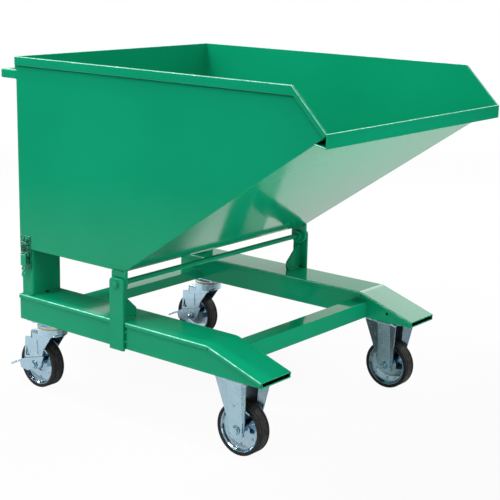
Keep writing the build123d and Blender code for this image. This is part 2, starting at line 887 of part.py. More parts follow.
leg_pocket = outline(
    *from_rear_axle(
        (leg_pocket_ahead + leg_pocket_lean - pocket_half, leg_pocket_low),
        (leg_pocket_ahead + leg_pocket_lean + pocket_half, leg_pocket_low),
        (leg_pocket_ahead + pocket_half, leg_pocket_high),
        (leg_pocket_ahead - pocket_half, leg_pocket_high),
    )
)
for pocket_y in (beam_y - leg_outer, beam_y + leg_outer - leg_pocket_depth):
    rear_fork -= along_y(leg_pocket, pocket_y, pocket_y + leg_pocket_depth)
lower_race = outline(
    (kingpin_radius + running_fit, crown_z),
    (race_radius, crown_z),
    (race_radius, upper_race_z - bearing_gap),
    (race_radius - race_wall, upper_race_z - bearing_gap),
    (race_radius - race_wall, crown_top),
    (kingpin_radius + running_fit, crown_top),
)
rear_fork += around(lower_race, swivel_x, beam_y, 0)
rear_fork -= along_z(Pos(swivel_x, beam_y) * Circle(kingpin_radius + running_fit), crown_z, crown_top)
rear_fork -= rod_y(
    axle_diameter + 2 * seat_fit, rear_axle_x, axle_z, beam_y - leg_outer, beam_y + leg_outer
)
pair("rear_fork", rear_fork)


# Brake pedals: two cheeks that turn on the axle, and a sloping tread between them behind the wheel
def pedal_top(rear):
    """Height of the pedal's sloping top edge, that far behind the axle."""
    return pedal_back_rise - (rear - pedal_back_rear) * math.tan(math.radians(pedal_tread_angle))


tread_start = wheel_radius + pedal_tread_gap
tread_end = tread_start + pedal_tread_length
cheek_face = outline(
    *from_rear_axle(
        (pedal_toe_ahead, pedal_toe_rise),
        (pedal_front_ahead, -pedal_front_drop),
        (-pedal_belly_rear, -pedal_belly),
        (-pedal_heel_rear, -pedal_heel_drop),
        (-pedal_heel_rear - pedal_arm, pedal_top(pedal_heel_rear + pedal_arm) - pedal_arm),
        (-tread_end, pedal_top(tread_end) - pedal_arm),
        (-tread_end, pedal_top(tread_end)),
        (-pedal_back_rear, pedal_back_rise),
    )
)
cheek_face -= Pos(rear_axle_x, axle_z) * Circle(axle_diameter / 2 + running_fit)
tread_face = outline(
    *from_rear_axle(
        (-tread_start, pedal_top(tread_start)),
        (-tread_start, pedal_top(tread_start) - pedal_sheet),
        (-tread_end, pedal_top(tread_end) - pedal_sheet),
        (-tread_end, pedal_top(tread_end)),
    )
)
pedal = along_y(tread_face, beam_y - cheek_outer, beam_y + cheek_outer)
for cheek_y in (beam_y - cheek_outer, beam_y + cheek_inner):
    pedal += along_y(cheek_face, cheek_y, cheek_y + pedal_sheet)
pair("brake_pedal", pedal)

os.makedirs("parts", exist_ok=True)
for name, part in nodes.items():
    export_step(part, f"parts/{name}.step")
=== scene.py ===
import json
import math

import bmesh
import bpy
from mathutils import Matrix, Vector


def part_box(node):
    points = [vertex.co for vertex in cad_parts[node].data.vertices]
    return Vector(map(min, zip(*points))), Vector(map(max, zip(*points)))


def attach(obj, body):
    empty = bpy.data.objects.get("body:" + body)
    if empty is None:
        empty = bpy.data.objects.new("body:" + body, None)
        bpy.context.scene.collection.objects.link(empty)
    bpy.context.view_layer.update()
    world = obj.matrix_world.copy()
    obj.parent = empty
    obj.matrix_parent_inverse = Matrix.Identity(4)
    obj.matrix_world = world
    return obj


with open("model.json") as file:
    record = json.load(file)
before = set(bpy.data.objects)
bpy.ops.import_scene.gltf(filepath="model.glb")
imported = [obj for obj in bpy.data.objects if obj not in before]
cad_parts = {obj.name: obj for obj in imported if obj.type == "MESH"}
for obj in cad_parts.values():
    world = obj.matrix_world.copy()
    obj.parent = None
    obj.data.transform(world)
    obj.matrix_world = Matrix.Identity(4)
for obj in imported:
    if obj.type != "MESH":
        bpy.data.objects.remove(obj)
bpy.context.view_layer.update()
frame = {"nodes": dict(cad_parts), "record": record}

scene = bpy.context.scene
scene.view_settings.view_transform = "Standard"
MM = 0.001

# Camera: the angles and distance that line the cart up with the photograph
YAW, PITCH, ROLL = (math.radians(a) for a in (38.848, 13.657, 1.176))
CAMERA_PLACE = Vector((2.2925, -2.8070, 1.3322))
LENS, SENSOR, FAR_CLIP = 89.4, 36.0, 100.0

back = Vector((math.sin(YAW) * math.cos(PITCH), -math.cos(YAW) * math.cos(PITCH), math.sin(PITCH)))
level = Vector((math.cos(YAW), math.sin(YAW), 0.0))
above = back.cross(level)
right = math.cos(ROLL) * level + math.sin(ROLL) * above
up = back.cross(right)
camera_data = bpy.data.cameras.new("camera")
camera_data.lens = LENS
camera_data.sensor_width = SENSOR
camera_data.clip_end = FAR_CLIP
camera = bpy.data.objects.new("camera", camera_data)
camera.matrix_world = Matrix.Translation(CAMERA_PLACE) @ Matrix((right, up, back)).transposed().to_4x4()
scene.collection.objects.link(camera)
scene.camera = camera


# Materials. Painted shade darkens a crease from where it is nearly clear to where it is deep.
CREASE_SHADE_MOST, CREASE_SAMPLES, CREASE_DEEP, CREASE_CLEAR = 0.85, 6, 0.3, 0.8


class Shader:
    """A node material with one Principled shader and short ways to add nodes to it."""

    def __init__(self, name):
        self.material = bpy.data.materials.new(name)
        self.material.use_nodes = True
        self.nodes = self.material.node_tree.nodes
        self.links = self.material.node_tree.links
        self.shader = self.nodes["Principled BSDF"]
        own = self.nodes.new("ShaderNodeTexCoord").outputs
        self.place, self.facing = own["Object"], own["Normal"]

    def set(self, **values):
        """Sets values that are the same all over on the shader's own sockets."""
        for key, value in values.items():
            self.shader.inputs[key.replace("_", " ")].default_value = value

    def noise(self, scale, detail=2.0, roughness=0.5):
        """Noise fixed to the piece, about 0.3 to 0.7 for the most part."""
        node = self.nodes.new("ShaderNodeTexNoise")
        node.inputs["Scale"].default_value = scale
        node.inputs["Detail"].default_value = detail
        node.inputs["Roughness"].default_value = roughness
        self.links.new(self.place, node.inputs["Vector"])
        return node.outputs["Fac"]

    def spread(self, source, low, high, from_low=0.3, from_high=0.7):
        """A value that goes from low to high as its source goes from one limit to the other."""
        node = self.nodes.new("ShaderNodeMapRange")
        limits = {"From Min": from_low, "From Max": from_high, "To Min": low, "To Max": high}
        for key, value in limits.items():
            node.inputs[key].default_value = value
        self.links.new(source, node.inputs["Value"])
        return node.outputs["Result"]

    def ramp(self, source, *stops):
        """A colour from pairs of a place on the source's scale and the colour there."""
        node = self.nodes.new("ShaderNodeValToRGB")
        ramp = node.color_ramp
        while len(ramp.elements) < len(stops):
            ramp.elements.new(0.5)
        for element, (place, colour) in zip(ramp.elements, stops):
            element.position = place
            element.color = (*colour, 1.0)
        self.links.new(source, node.inputs["Fac"])
        return node.outputs["Color"]

    def reach(self, middle, size=(1.0, 1.0, 1.0)):
        """Distance from a point, with a unit of its own along each axis."""
        offset = self.vector("SUBTRACT", self.place, middle)
        scaled = self.vector("DIVIDE", offset.outputs["Vector"], size)
        return self.vector("LENGTH", scaled.outputs["Vector"]).outputs["Value"]

    def vector(self, operation, source, value=None):
        node = self.nodes.new("ShaderNodeVectorMath")
        node.operation = operation
        self.links.new(source, node.inputs[0])
        if value is not None:
            node.inputs[1].default_value = value
        return node

    def times(self, first, second):
        node = self.nodes.new("ShaderNodeMath")
        node.operation = "MULTIPLY"
        self.links.new(first, node.inputs[0])
        self.links.new(second, node.inputs[1])
        return node.outputs["Value"]

    def tilt(self, axis):
        """How far the surface faces along an axis of the piece."""
        node = self.nodes.new("ShaderNodeSeparateXYZ")
        self.links.new(self.facing, node.inputs["Vector"])
        return node.outputs[axis]

    def covered(self, colour, cover, share):
        """A colour that gives way to a cover by a share: dust on the tyres, painted shade in creases."""
        node = self.nodes.new("ShaderNodeMix")
        node.data_type = "RGBA"
        self.links.new(share, node.inputs["Factor"])
        self.links.new(colour, node.inputs["A"])
        node.inputs["B"].default_value = (*cover, 1.0)
        return node.outputs["Result"]

    def crease_shaded(self, colour, shade_colour, reach):
        """A colour with painted shade that darkens it in creases, where other surfaces come within reach.
        """
        crease = self.nodes.new("ShaderNodeAmbientOcclusion")
        crease.samples = CREASE_SAMPLES
        crease.inputs["Distance"].default_value = reach
        share = self.spread(crease.outputs["AO"], CREASE_SHADE_MOST, 0.0, CREASE_DEEP, CREASE_CLEAR)
        return self.covered(colour, shade_colour, share)

    def bump(self, source, strength, distance):
        """Adds a relief on top of any that is there already."""
        node = self.nodes.new("ShaderNodeBump")
        node.inputs["Strength"].default_value = strength
        node.inputs["Distance"].default_value = distance
        self.links.new(source, node.inputs["Height"])
        for link in list(self.shader.inputs["Normal"].links):
            self.links.new(link.from_socket, node.inputs["Normal"])
        self.links.new(node.outputs["Normal"], self.shader.inputs["Normal"])

    def feed(self, source, socket):
        self.links.new(source, self.shader.inputs[socket])


def green_paint():
    """Glossy stove enamel on sheet that is not quite flat."""
    made = Shader("green_paint")
    made.set(Specular_IOR_Level=0.15)
    colour = made.ramp(made.noise(2.6, 3.0), (0.3, (0.0026, 0.262, 0.128)), (0.7, (0.0036, 0.292, 0.145)))
    # Painted shade darkens the enamel in creases.
    made.feed(made.crease_shaded(colour, (0.001, 0.03, 0.014), 12.0 * MM), "Base Color")
    made.feed(made.spread(made.noise(9.0, 4.0), 0.06, 0.10), "Roughness")
    made.bump(made.noise(7.0, 1.0), 0.15, 0.0009)
    made.bump(made.noise(28.0, 2.0), 0.12, 0.0003)
    made.bump(made.noise(240.0, 2.0), 0.02, 0.0006)
    return made.material


def worn_highlit_paint():
    """Edges whose enamel is rubbed thin, with a painted highlight where they face up."""
    made = Shader("worn_highlit_paint")
    made.set(Specular_IOR_Level=0.5)
    upward = made.spread(made.tilt("Z"), 0.0, 1.0, 0.05, 0.3)
    colour = made.ramp(
        made.times(made.noise(45.0, 4.0, 0.6), upward),
        (0.1, (0.003, 0.28, 0.13)),
        (0.3, (0.05, 0.38, 0.24)),
        (0.5, (0.26, 0.66, 0.52)),
        (0.75, (0.46, 0.80, 0.70)),
    )
    made.feed(colour, "Base Color")
    made.feed(made.spread(made.noise(120.0, 3.0), 0.12, 0.3), "Roughness")
    return made.material


def latch_paint():
    """Enamel darkened in blotches, with painted shade in its creases."""
    made = Shader("latch_paint")
    made.set(Specular_IOR_Level=0.5)
    colour = made.ramp(
        made.noise(130.0, 3.0, 0.6),
        (0.42, (0.001, 0.020, 0.010)),
        (0.52, (0.003, 0.200, 0.098)),
        (0.68, (0.012, 0.330, 0.180)),
    )
    # Painted shade darkens it further in creases.
    made.feed(made.crease_shaded(colour, (0.001, 0.012, 0.006), 7.0 * MM), "Base Color")
    made.feed(made.spread(made.noise(160.0, 3.0), 0.12, 0.34), "Roughness")
    made.bump(made.noise(240.0, 2.0), 0.1, 0.0005)
    return made.material


def weld_paint():
    """The same enamel over the ripples of a weld."""
    made = Shader("weld_paint")
    made.set(Specular_IOR_Level=0.35)
    colour = made.ramp(made.noise(160.0), (0.35, (0.003, 0.25, 0.11)), (0.65, (0.004, 0.30, 0.135)))
    made.feed(colour, "Base Color")
    made.feed(made.spread(made.noise(400.0), 0.14, 0.26), "Roughness")
    made.bump(made.noise(700.0, 3.0), 0.2, 0.0006)
    return made.material


def zinc_plate(name, tone, shine, matt, wave):
    """Zinc plating with bluish clouds, from its brightness, its two roughnesses and its waviness."""
    made = Shader(name)
    made.set(Metallic=1.0)
    tints = ((0.44, 0.65, 0.80), (0.50, 0.70, 0.83), (0.60, 0.76, 0.85))
    stops = [(place, [tone * part for part in tint]) for place, tint in zip((0.25, 0.5, 0.75), tints)]
    colour = made.ramp(made.noise(34.0, 4.0, 0.6), *stops)
    # Painted shade darkens the zinc in creases.
    made.feed(made.crease_shaded(colour, (0.05, 0.06, 0.07), 5.0 * MM), "Base Color")
    made.feed(made.spread(made.noise(90.0, 4.0), shine, matt), "Roughness")
    made.bump(made.noise(22.0, 2.0), wave, 0.0005)
    made.bump(made.noise(900.0, 2.0), 0.008, 0.0002)
    return made.material


def shade_inside():
    """Painted shade inside the beams: dull and near-black."""
    made = Shader("shade_inside")
    made.set(Specular_IOR_Level=0.2)
    stops = (0.35, (0.002, 0.004, 0.003)), (0.7, (0.008, 0.012, 0.010))
    made.feed(made.ramp(made.noise(70.0, 3.0), *stops), "Base Color")
    made.feed(made.spread(made.noise(200.0), 0.55, 0.8), "Roughness")
    made.bump(made.noise(500.0, 2.0), 0.15, 0.0005)
    return made.material


def yellow_zinc():
    """Yellow chromate on the bearing parts."""
    made = Shader("yellow_zinc")
    made.set(Metallic=1.0)
    stops = (0.3, (0.60, 0.38, 0.08)), (0.7, (0.80, 0.66, 0.30))
    made.feed(made.ramp(made.noise(120.0, 3.0), *stops), "Base Color")
    made.feed(made.spread(made.noise(200.0), 0.25, 0.4), "Roughness")
    return made.material


def tyre_rubber():
    """Black rubber with a slightly grainy skin, and floor dust on the tread."""
    made = Shader("tyre_rubber")
    made.set(Specular_IOR_Level=0.3)
    stops = (0.35, (0.006, 0.006, 0.007)), (0.7, (0.013, 0.013, 0.014))
    colour = made.ramp(made.noise(60.0, 5.0, 0.65), *stops)
    sideways = made.tilt("Y")
    tread = made.spread(made.times(sideways, sideways), 1.0, 0.0, 0.02, 0.3)
    dust = made.times(tread, made.spread(made.noise(110.0, 4.0, 0.7), 0.0, 0.9, 0.42, 0.62))
    made.feed(made.covered(colour, (0.042, 0.041, 0.039), dust), "Base Color")
    made.feed(made.spread(made.noise(150.0, 3.0), 0.34, 0.5), "Roughness")
    made.bump(made.noise(1300.0, 2.0), 0.10, 0.0005)
    return made.material


PAINT = green_paint()
WORN_AND_HIGHLIT = worn_highlit_paint()
BLOTCHED_SHADED_LATCH = latch_paint()
WELD = weld_paint()
ZINC = zinc_plate("zinc_plate", 0.94, 0.16, 0.30, 0.15)
BRIGHT_ZINC = zinc_plate("bright_zinc", 0.84, 0.07, 0.14, 0.4)
# A much darker copy of the zinc is painted shade on the inner faces of the front forks.
SHADED_ZINC = zinc_plate("shaded_zinc", 0.2, 0.3, 0.5, 0.15)
INSIDE_SHADE = shade_inside()
YELLOW = yellow_zinc()
RUBBER = tyre_rubber()
SLOT_MATERIAL = {"green_paint": PAINT, "zinc_steel": ZINC, "tyre_rubber": RUBBER}

# The solids keep their shapes, get soft edges and take their slot's material or one of their own.
# Edge widths are in millimetres. Rubbed edges have widths of their own and show worn paint with a painted
# highlight where they face up.
EDGE_ROUND = {"green_paint": 0.9, "zinc_steel": 0.5, "tyre_rubber": 0.2}
RUBBED_HIGHLIT = {
    "rim_side": 1.4,
    "rim_rear": 1.4,
    "tub_lip": 1.4,
    "latch_lever": 1.0,
    "latch_base": 0.7,
    "latch_bail": 0.7,
    "latch_pin": 0.7,
    "keeper": 0.7,
}
OWN_MATERIAL = {
    "front_rim": BRIGHT_ZINC,
    "rear_rim": BRIGHT_ZINC,
    "latch_base": BLOTCHED_SHADED_LATCH,
    "latch_bail": BLOTCHED_SHADED_LATCH,
    "latch_pin": BLOTCHED_SHADED_LATCH,
    "keeper": BLOTCHED_SHADED_LATCH,
}
# Painted shade for the faces inside the beams and on the inner sides of the front forks.
INSIDE = {"beam_tray": INSIDE_SHADE, "beam_cap": INSIDE_SHADE, "front_fork": SHADED_ZINC}
BEAM_INSIDE, BEAM_FLOOR = 58.5 * MM, 6.0 * MM
FORK_TOP_TILT, FORK_LEG_TILT, WORN_HIGHLIGHT_TILT = -0.25, 0.93, 0.5
JOIN_WITHIN, FLAT_WITHIN = 0.01 * MM, math.radians(0.5)
CORNER, FOLD = math.radians(32), math.radians(11.5)
node_slot = {row["node"]: row["material_slot"] for row in frame["record"]["subparts"]}


def faces_inside(kind, name, mesh):
    """Faces inside a beam, or on the side of a front fork that faces its wheel, which take painted shade.
    """
    low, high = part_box(name)
    centre_y = (low[1] + high[1]) / 2
    floor_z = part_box(name.replace("cap", "tray"))[0][2] + BEAM_FLOOR
    found = []
    for face in mesh.polygons:
        inward = Vector((0.0, centre_y - face.center.y, floor_z - face.center.z))
        if kind == "front_fork":
            leg = face.normal.y * math.copysign(1.0, inward.y) > FORK_LEG_TILT
            inside = leg or face.normal.z < FORK_TOP_TILT
        else:
            inside = abs(inward.y) < BEAM_INSIDE and face.normal.dot(inward) > 0
        if inside:
            found.append(face)
    return found


def worn_highlit_corners(mesh):
    """Faces of the rounded corners along the top of a beam, which take worn paint with a painted
    highlight.
    """
    return [face for face in mesh.polygons if min(face.normal.z, abs(face.normal.y)) > WORN_HIGHLIGHT_TILT]


def dress(name, node):
    """Gives a solid its materials, smooth faces and the modifiers that soften its edges."""
    slot, kind = node_slot[name], name.rsplit("_", 1)[0]
    mesh = node.data
    mesh.materials.clear()
    mesh.materials.append(OWN_MATERIAL.get(kind, SLOT_MATERIAL[slot]))
    for face in mesh.polygons:
        face.use_smooth = True
    patches = []
    if kind == "beam_cap":
        patches.append((WORN_AND_HIGHLIT, worn_highlit_corners(mesh)))
    # Faces inside the beams and front forks take painted shade.
    if kind in INSIDE:
        patches.append((INSIDE[kind], faces_inside(kind, name, mesh)))
    for material, faces in patches:
        mesh.materials.append(material)
        for face in faces:
            face.material_index = len(mesh.materials) - 1
    weld = node.modifiers.new("join", "WELD")
    weld.merge_threshold = JOIN_WITHIN
    flat = node.modifiers.new("flat_faces", "DECIMATE")
    flat.decimate_type = "DISSOLVE"
    flat.angle_limit = FLAT_WITHIN
    edge = node.modifiers.new("edges", "BEVEL")
    edge.limit_method = "ANGLE"
    edge.angle_limit = FOLD if kind == "front_fork" else CORNER
    rubbed_highlit = RUBBED_HIGHLIT.get(name, RUBBED_HIGHLIT.get(kind))
    if rubbed_highlit:
        mesh.materials.append(WORN_AND_HIGHLIT)
        edge.material = len(mesh.materials) - 1
    edge.width = (rubbed_highlit or EDGE_ROUND[slot]) * MM
    edge.segments = 2
    edge.use_clamp_overlap = False
    shading = node.modifiers.new("flat_shading", "WEIGHTED_NORMAL")
    shading.mode = "FACE_AREA"


for name, node in frame["nodes"].items():
    dress(name, node)


# Small pieces: each is one mesh of closed shapes, made ring by ring, in millimetres
SHARP = math.radians(34)


def side_axes(direction):
    """Two unit vectors square to a direction."""
    first = direction.cross(Vector((0, 0, 1)))
    if first.length < 0.5:
        first = Vector((1, 0, 0))
    first.normalize()
    return first, direction.cross(first).normalized()


def turned(place, direction, profile, sides=24):
    """Rings of a turned shape, from pairs of radius and height along a direction."""
    direction = Vector(direction).normalized()
    first, second = side_axes(direction)
    turns = [2 * math.pi * i / sides for i in range(sides)]
    spokes = [first * math.cos(turn) + second * math.sin(turn) for turn in turns]
    rings = []
    for radius, height in profile:
        centre = Vector(place) + direction * height
        rings.append([centre + spoke * radius for spoke in spokes])
    return rings


def hexagon(place, direction, flats, height, turn=0.0):
    """Rings of a bolt head or nut, with the curved chamfer that a turned hexagon has."""
    place, direction = Vector(place), Vector(direction).normalized()
    first, second = side_axes(direction)
    sides, half = 36, flats / 2
    crown = 0.93 * half
    base, edge, top = [], [], []
    for i in range(sides):
        angle = 2 * math.pi * i / sides
        reach = half / math.cos((angle % (math.pi / 3)) - math.pi / 6)
        spoke = first * math.cos(angle + turn) + second * math.sin(angle + turn)
        cut = (reach - crown) * math.tan(math.radians(30))
        base.append(place + spoke * reach)
        edge.append(place + spoke * reach + direction * (height - cut))
        top.append(place + spoke * crown + direction * height)
    return [base, edge, top]


def bolt(place, direction, size):
    """A washer and a hexagon head, sized by the thread."""
    direction = Vector(direction)
    washer = [(1.05, 0.0), (1.1, 0.05), (1.1, 0.22), (1.0, 0.28)]
    seat = Vector(place) + direction * 0.28 * size
    return [
        turned(place, direction, [(radius * size, height * size) for radius, height in washer]),
        hexagon(seat, direction, 1.6 * size, 0.66 * size, turn=0.2),
    ]


def rivet(place, direction, radius):
    """A low domed rivet head."""
    dome = [(1.0, 0.0), (1.0, 0.15), (0.86, 0.42), (0.5, 0.62), (0.08, 0.7)]
    return turned(place, direction, [(r * radius, h * radius) for r, h in dome], sides=18)


def bead(start, end, size, out, step=0.45):
    """Rings of a rippled bead of weld between two points, heaped towards out and thinner at its ends."""
    start, end, out = Vector(start), Vector(end), Vector(out).normalized()
    across = (end - start).normalized().cross(out).normalized()
    count = max(6, int((end - start).length / (step * size)))
    sides = 8
    rings = []
    for i in range(count + 1):
        swell = 1.0 + 0.16 * math.sin(2.1 * i) + 0.06 * math.sin(0.73 * i)
        swell *= size * min(1.0, 0.45 + 0.3 * min(i, count - i))
        turns = [2 * math.pi * k / sides for k in range(sides)]
        place = start.lerp(end, i / count)
        rings.append([place + (across * math.cos(turn) + out * math.sin(turn)) * swell for turn in turns])
    return rings


def piece(name, shapes, body, material):
    """Makes one piece of several closed shapes and lets it ride on a body."""
    made = bmesh.new()
    for rings in shapes:
        rows = [[made.verts.new(point * MM) for point in ring] for ring in rings]
        for low, high in zip(rows, rows[1:]):
            for i in range(len(low)):
                j = (i + 1) % len(low)
                made.faces.new((low[i], low[j], high[j], high[i]))
        made.faces.new(list(reversed(rows[0])))
        made.faces.new(rows[-1])
    bmesh.ops.recalc_face_normals(made, faces=made.faces)
    mesh = bpy.data.meshes.new(name)
    made.to_mesh(mesh)
    made.free()
    for face in mesh.polygons:
        face.use_smooth = True
    mesh.set_sharp_from_angle(angle=SHARP)
    mesh.materials.append(material)
    item = bpy.data.objects.new(name, mesh)
    scene.collection.objects.link(item)
    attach(item, body)


def span(node):
    """Lowest and highest corner of a solid, in millimetres."""
    low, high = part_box(node)
    return Vector(low) / MM, Vector(high) / MM


def middle(node):
    """Middle of a solid's box, in millimetres."""
    low, high = span(node)
    return (low + high) / 2


def inner_outer(node):
    """A solid's distance from the middle plane of the cart, on its near and its far face."""
    low, high = span(node)
    return sorted((abs(low.y), abs(high.y)))


# Sizes of the solids that their boxes don't show, and sizes of the small pieces. Profiles are pairs of
# radius and height.
RIM_BOWL, RIVETS, RIVET_CIRCLE, RIVET_SIZE = 8.0, 6, 46.0, 4.0
AXLE_HEAD, AXLE_THREAD, THREAD_TURNS, THREAD_DEPTH = 8.0, 6.0, 3, 0.7
AXLE_WASHER = ((13.0, 0.1), (13.6, 0.5), (13.6, 1.8), (13.0, 2.2))
REAR_PLATE, FRONT_PLATE, BEARING, RACE = 6.0, 5.0, 18.0, 45.0
DUST_RING = ((-0.5, 0.6), (0.7, 0.8), (1.0, 2.2), (0.7, 4.6), (-0.5, 5.0))
REAR_BOLTS = ((-46, -30), (46, -30), (46, 30), (-46, 30))
FRONT_BOLTS = ((-62, -14), (42, -22), (42, 22), (-62, 14))
CASTER_BOLT = 10.0
FORK_RIVET_REAR, FORK_RIVET_RISE, FORK_RIVET_OUT, FORK_RIVET = 5.0, 70.0, 34.6, 3.6
TREAD_REAR, TREAD_LENGTH, TREAD_ANGLE = 81.0, 26.0, math.radians(25.0)
TREAD_HIGH_REAR, TREAD_HIGH_RISE = 45.0, 12.0
RIB_SHARES, RIB_INSET, RIB_END = (0.2, 0.5, 0.8), 9.0, ((0.2, 0.0), (1.0, 1.0), (1.4, 2.5))
LATCH_PLATE = 3.0
KEEPER_BOLT, KEEPER_BOLT_SPACING, KEEPER_BOLT_DROP = 5.2, 15.0, 9.0
LATCH_RIVET, LATCH_RIVET_AHEAD, LATCH_RIVET_INSET = 3.0, 15.0, 6.0
SHAFT_HEAD_SUNK = 1.2
SHAFT_HEAD = ((1.12, 0.0), (1.16, 0.8), (1.0, 2.0), (0.6, 2.8), (0.1, 3.0))
WELD_SIZE = 2.6
BAR_WELDS, BAR_WELD_HALF, BAR_WELD_SIZE = (247.0, 276.0, 300.0), 4.5, 3.4
GUSSET_ROUND, GUSSET_END, GUSSET_FOOT, GUSSET_TOP = 8.0, 6.0, 4.0, 2.0
POST_ROUND, POST_FRONT_ROUND, NOTCH_HALF = 8.0, 9.0, 9.0
CROSS_FOOT = 2.0
TUB_WELD, TUB_WELD_STEP, TUB_WELD_TOP = 2.2, 1.6, 4.0
LUG, LUG_WELD, LUG_WELD_START = 10.0, 2.0, 3.0
HANDLE_WELD = 2.2


def wheel_pieces(end, side, sign, axle_body):
    """Rim rivets, the axle's washer and the threaded end beyond its nut."""
    hub = middle(f"{end}_rim_{side}")
    heads = []
    for face in (1, -1):
        for i in range(RIVETS):
            turn = 2 * math.pi * (i + 0.5) / RIVETS
            ahead, rise = math.cos(turn) * RIVET_CIRCLE, math.sin(turn) * RIVET_CIRCLE
            heads.append(rivet(hub + Vector((ahead, face * RIM_BOWL, rise)), (0, face, 0), RIVET_SIZE))
    piece(f"{end}_rim_rivets_{side}", heads, f"{end}_wheel_{side}", BRIGHT_ZINC)

    axle = f"{end}_axle_{side}"
    nut_y, head_y = inner_outer(axle)
    outward = Vector((0, sign, 0))
    seat = Vector((hub.x, sign * (head_y - AXLE_HEAD), hub.z))
    washer = turned(seat, outward, AXLE_WASHER, sides=36)
    stub = Vector((hub.x, sign * nut_y, hub.z))
    thread = [(AXLE_THREAD, -0.5), (AXLE_THREAD, 2.2)]
    for i in range(THREAD_TURNS):
        thread += [(AXLE_THREAD - THREAD_DEPTH, 2.6 + i), (AXLE_THREAD, 3.1 + i)]
    thread += [(AXLE_THREAD - 1.2, 6.0), (0.6, 6.1)]
    fittings = [washer, turned(stub, -outward, thread)]
    piece(f"{axle}_fittings", fittings, axle_body, BRIGHT_ZINC)


def caster_pieces(side):
    """Bolts of the casters, the dust ring of the swivel bearing and the rivets of the front fork."""
    beam_low = span(f"beam_tray_{side}")[0].z
    swivel, hub = middle(f"caster_plate_{side}"), middle(f"front_rim_{side}")
    down = Vector((0, 0, -1))
    places = (swivel, REAR_BOLTS, REAR_PLATE, "rear"), (hub, FRONT_BOLTS, FRONT_PLATE, "front")
    for centre, spots, plate, end in places:
        bolts = []
        for ahead, aside in spots:
            place = Vector((centre.x + ahead, centre.y + aside, beam_low - plate))
            bolts += bolt(place, down, CASTER_BOLT)
        piece(f"{end}_caster_bolts_{side}", bolts, "chassis", ZINC)
    seat = Vector((swivel.x, swivel.y, beam_low - REAR_PLATE - BEARING))
    profile = [(RACE + out, height) for out, height in DUST_RING]
    ring = turned(seat, (0, 0, 1), profile, sides=56)
    piece(f"bearing_ring_{side}", [ring], "chassis", YELLOW)
    rivets = []
    for face in (1, -1):
        place = hub + Vector((-FORK_RIVET_REAR, face * FORK_RIVET_OUT, FORK_RIVET_RISE))
        rivets.append(rivet(place, (0, face, 0), FORK_RIVET))
    piece(f"front_fork_rivets_{side}", rivets, "chassis", BRIGHT_ZINC)


def pedal_ribs(side):
    """Pressed ribs across the sloping tread of the brake pedal."""
    low, high = span(f"brake_pedal_{side}")
    hub = middle(f"rear_rim_{side}")
    ribs = []
    length = high.y - low.y - 2 * RIB_INSET
    other_end = [(radius, length - height) for radius, height in reversed(RIB_END)]
    for share in RIB_SHARES:
        rear = TREAD_REAR + TREAD_LENGTH * share
        rise = TREAD_HIGH_RISE - (rear - TREAD_HIGH_REAR) * math.tan(TREAD_ANGLE)
        start = Vector((hub.x - rear, low.y + RIB_INSET, hub.z + rise))
        ribs.append(turned(start, (0, 1, 0), [*RIB_END, *other_end], sides=14))
    piece(f"pedal_ribs_{side}", ribs, f"pedal_{side}", ZINC)


def latch_pieces(side, sign):
    """Round-headed bolts of the keeper, rivets of the latch base and the pivot shaft's peened ends."""
    outward = Vector((0, sign, 0))
    keeper = middle(f"keeper_{side}")
    bolt_z = span(f"keeper_{side}")[1].z - KEEPER_BOLT_DROP
    face = sign * (inner_outer(f"keeper_{side}")[0] + LATCH_PLATE)
    bolts = []
    for ahead in (-KEEPER_BOLT_SPACING / 2, KEEPER_BOLT_SPACING / 2):
        bolts.append(rivet(Vector((keeper.x + ahead, face, bolt_z)), outward, KEEPER_BOLT))
    piece(f"keeper_bolts_{side}", bolts, "tub", PAINT)

    base_low, base_high = span(f"latch_base_{side}")
    face = sign * (inner_outer(f"latch_base_{side}")[0] + LATCH_PLATE)
    rivets = []
    for ahead in (-LATCH_RIVET_AHEAD, LATCH_RIVET_AHEAD):
        for height in (base_low.z + LATCH_RIVET_INSET, base_high.z - LATCH_RIVET_INSET):
            rivets.append(rivet(Vector((keeper.x + ahead, face, height)), outward, LATCH_RIVET))
    piece(f"latch_rivets_{side}", rivets, "chassis", PAINT)

    shaft = middle("pivot_shaft")
    shaft_end, shaft_round = span("pivot_shaft")[1].y, span("pivot_shaft")[1].z - shaft.z
    place = Vector((shaft.x, sign * (shaft_end - SHAFT_HEAD_SUNK), shaft.z))
    head = turned(place, outward, [(share * shaft_round, height) for share, height in SHAFT_HEAD])
    piece(f"shaft_head_{side}", [head], "chassis", PAINT)


